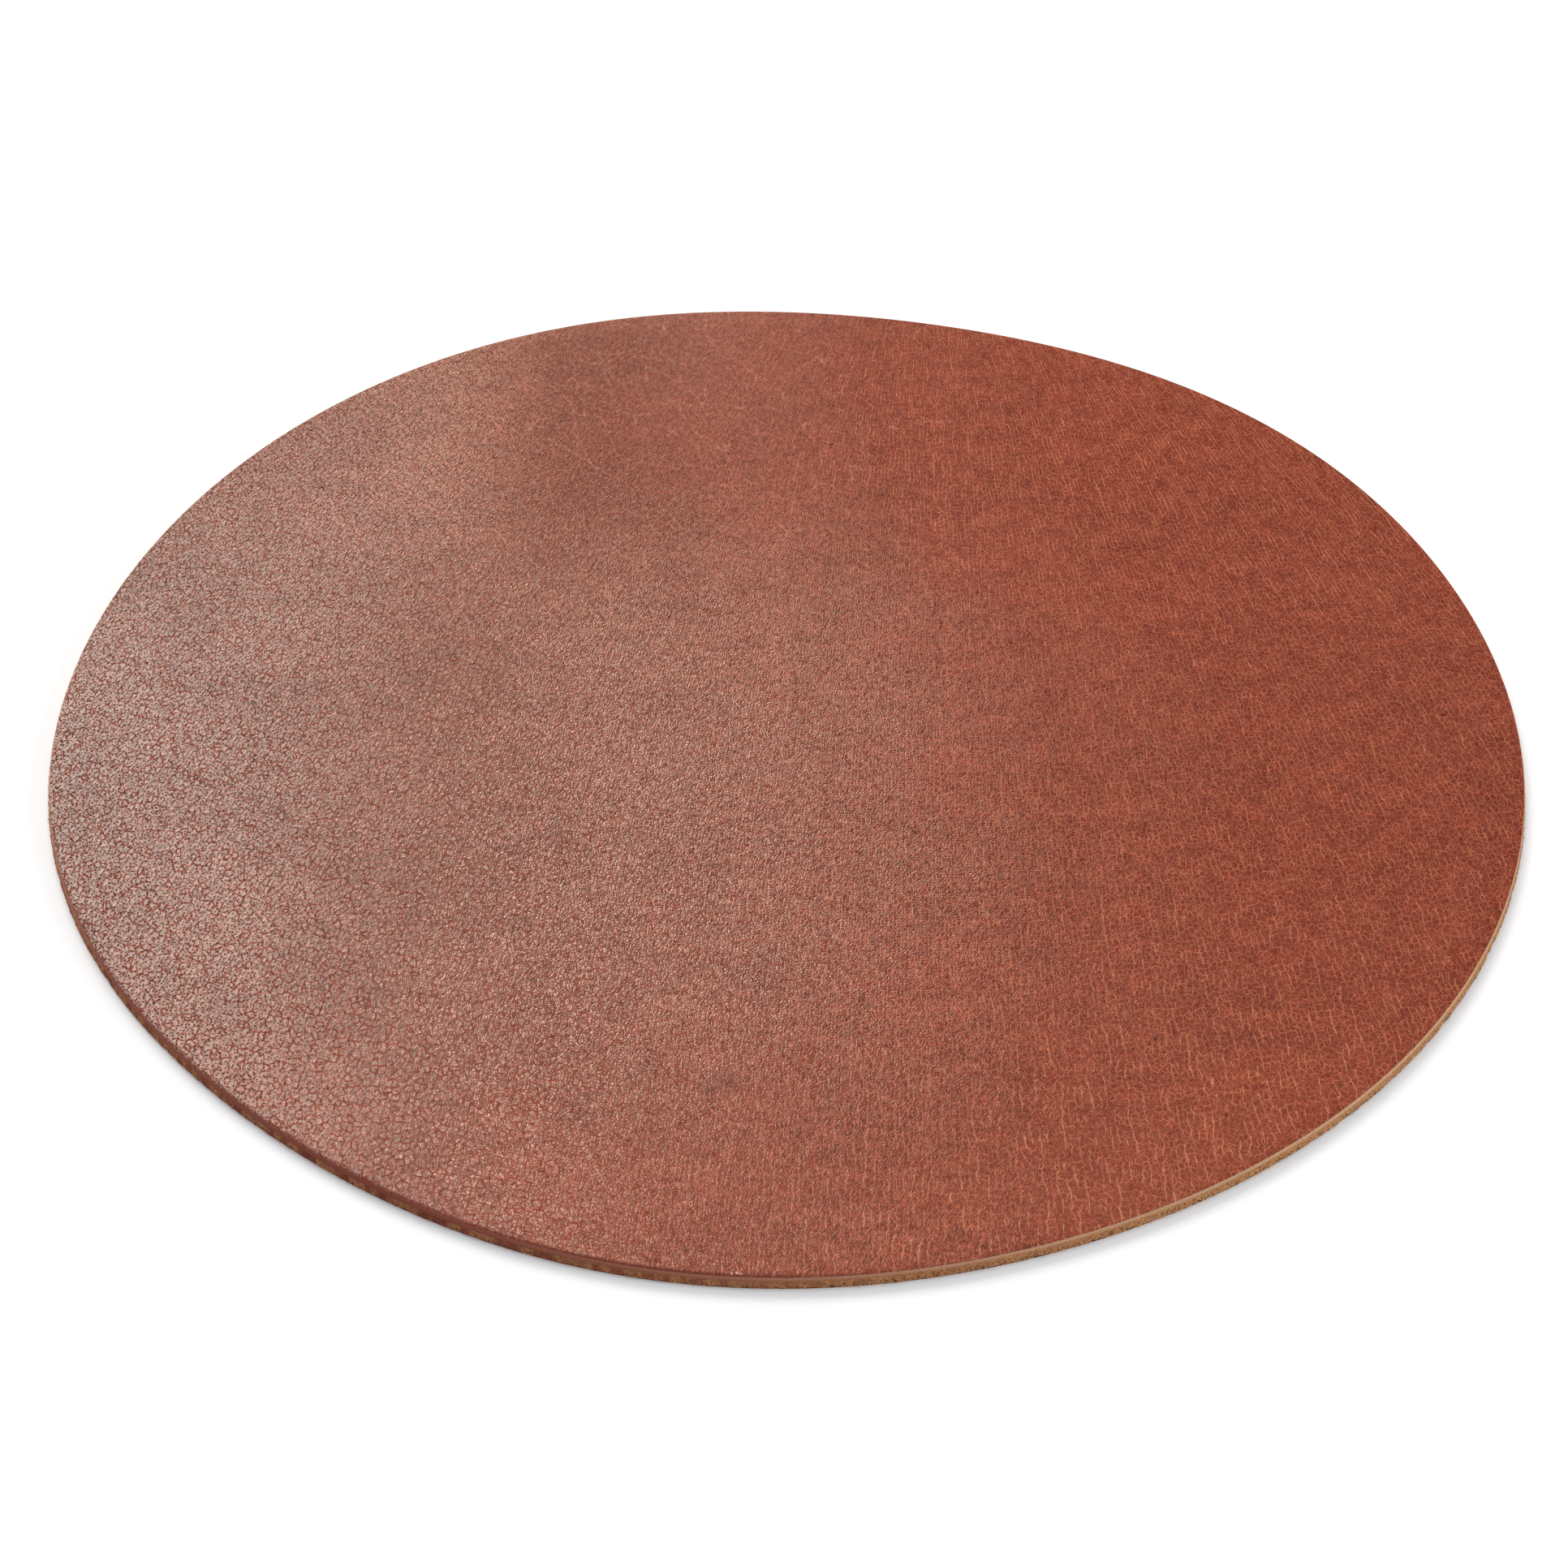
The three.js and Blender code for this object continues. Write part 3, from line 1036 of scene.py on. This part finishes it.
def makeRawFlesh(finish):
    material, tree, shader = newMaterial("rawFlesh")
    plan = planOf(tree)
    wall = shownAttribute(tree, "wallShare")
    flecks = group(tree, cutFlecks, Plan=plan, **fleshFlecks)
    mottle = group(tree, hideMottle, Plan=plan, **fleshMottle)
    pits = product(tree, flecks["Pits"], cutFade(tree, wall, "coarse"))
    specks = cutFade(tree, noiseAt(tree, plan, 2.0, finish["specks"])["Fac"], "specks")
    specks = product(tree, specks, cutFade(tree, wall, "speckFoot"))
    veil = product(tree, rolledMask(tree), cutFade(tree, mottle["Patches"], "veil"))
    cut = paint(tree, finish["tan"], (flecks["Ends"], finish["light"]), (pits, finish["pit"]),
                (specks, finish["speck"]), (veil, finish["rolled"]))
    tanned = product(tree, mottle["Clouds"], finish["napTan"])
    nap = paint(tree, finish["napDark"], (mottle["Speckle"], finish["nap"]), (tanned, finish["tan"]))
    color = paint(tree, nap, (cutFade(tree, wall, "cut"), cut))
    tone = weighted(tree, [(flecks["Strands"], 0.5), (1.0, 0.68)])
    feed(tree, shader.inputs["Base Color"], vectorCalc(tree, "SCALE", color, tone))
    setFinish(shader, finish)
    height = weighted(tree, [(flecks["Strands"], 0.6), (flecks["Pits"], -0.5), (mottle["Speckle"], 0.3)])
    feed(tree, shader.inputs["Normal"], bumpOf(tree, height, finish["bump"]))
    return material


def makeFleshLeather(sheet, outline):
    top = sheet["cutRows"][-1][1]
    wallRows = [(distance, height, height / top) for distance, height in sheet["cutRows"]]
    mesh = layDisc("fleshLeather", outline, sheet["rings"], sheet["split"], sheet["faceRows"],
                   wallRows, -1)
    values = {**cutRelief, "Material": makeRawFlesh(fleshFinish)}
    return grow("fleshLeather", mesh, makeCutRelief(), values)


fleshLeather = makeFleshLeather(fleshSheet, cutOutline)
print("flesh leather:", len(fleshLeather.data.polygons), "faces")

# Loose fibres that stand out of the cut

fibreTuft = {
    "Density": 2.4e6,  # per square metre of cut
    "Length": 0.45 * mm,
    "Thickness": 0.022 * mm,
    "Lean": 1.15,  # radians
    "Seed": 11,
}
# One fibre, for a length of 1
fibreBend = {"Resolution": 4, "Start": (0, 0, 0), "Middle": (0, 0, 0.55), "End": (0.35, 0, 0.9)}
fibreSides = 3
fibreTaper = 0.8
fibreShortest = 0.35
fibreLean = (1.0, 1.0, 3.0)  # times Lean, about X, Y and Z
fibreColors = {"pale": linear(226, 182, 132), "dark": linear(150, 96, 58)}
fibreFlecks = {"Strand_Size": 0.5, "Pit_Size": 0.8}  # mm


def makeLooseFibres():
    inputs = ("Geometry", *fibreTuft, "Material")
    tree, given, result = newTree("looseFibres", "GeometryNodeTree", inputs, ("Geometry",))
    wall = attribute(tree, "wallShare")
    density = product(tree, cutFade(tree, wall, "fibreFoot"), cutFade(tree, wall, "fibreTop"),
                      attribute(tree, "looseShare"), given["Density"])
    points = place(tree, "GeometryNodeDistributePointsOnFaces",
                   {"Mesh": given["Geometry"], "Density": density, "Seed": given["Seed"]})

    # one fibre, bent and tapered
    strand = place(tree, "GeometryNodeCurveQuadraticBezier", fibreBend)
    along = place(tree, "GeometryNodeSplineParameter").outputs["Factor"]
    taper = calc(tree, "SUBTRACT", 1.0, calc(tree, "MULTIPLY", along, fibreTaper))
    shaped = place(tree, "GeometryNodeSetCurveRadius", {"Curve": strand.outputs[0], "Radius": taper})
    radius = calc(tree, "DIVIDE", given["Thickness"], given["Length"])
    ring = place(tree, "GeometryNodeCurvePrimitiveCircle", {"Resolution": fibreSides, "Radius": radius})
    tube = place(tree, "GeometryNodeCurveToMesh",
                 {"Curve": shaped.outputs[0], "Profile Curve": ring.outputs[0], "Fill Caps": True})

    # each leans and is cut its own way, and none goes below the desk
    high = vectorCalc(tree, "SCALE", fibreLean, given["Lean"])
    low = vectorCalc(tree, "SCALE", high, -1.0)
    lean = place(tree, "FunctionNodeRandomValue", {0: low, 1: high, "Seed": given["Seed"]},
                 data_type="FLOAT_VECTOR")
    tilt = place(tree, "FunctionNodeEulerToRotation", {0: lean.outputs[0]}).outputs[0]
    turned = place(tree, "FunctionNodeRotateRotation", {0: points.outputs["Rotation"], 1: tilt},
                   rotation_space="LOCAL")
    size = place(tree, "FunctionNodeRandomValue", {2: fibreShortest, 3: 1.0, "Seed": given["Seed"]},
                 data_type="FLOAT")
    size = calc(tree, "MULTIPLY", size.outputs[1], given["Length"])
    tufts = place(tree, "GeometryNodeInstanceOnPoints",
                  {"Points": points.outputs[0], "Instance": tube.outputs[0],
                   "Rotation": turned.outputs[0], "Scale": size})
    solid = place(tree, "GeometryNodeRealizeInstances", {"Geometry": tufts.outputs[0]}).outputs[0]
    axes = axesOf(tree, place(tree, "GeometryNodeInputPosition").outputs[0])
    lifted = join(tree, axes["X"], axes["Y"], calc(tree, "MAXIMUM", axes["Z"], given["Thickness"]))
    kept = place(tree, "GeometryNodeSetPosition", {"Geometry": solid, "Position": lifted})
    closeTree(tree, kept.outputs[0], given["Material"], result)
    return tree


def makeFibreTan(colors):
    material, tree, shader = newMaterial("fibreTan")
    flecks = group(tree, cutFlecks, Plan=planOf(tree), **fibreFlecks)
    color = paint(tree, colors["dark"], (flecks["Strands"], colors["pale"]),
                  (rolledMask(tree), fleshFinish["rolled"]))
    feed(tree, shader.inputs["Base Color"], color)
    setFinish(shader, fleshFinish)
    return material


rimFibres = grow("rimFibres", fleshLeather.data.copy(), makeLooseFibres(),
                 {**fibreTuft, "Material": makeFibreTan(fibreColors)})
print("rim fibres:", len(rimFibres.data.polygons), "faces")

# Each piece hangs from the root body, and the imported frame's own parts are hidden

for piece, slotName in ((grainLeather, "grain_leather"), (fleshLeather, "flesh_leather"),
                        (rimFibres, "flesh_leather")):
    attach(piece, "root")
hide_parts("grain_layer")
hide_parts("flesh_layer")
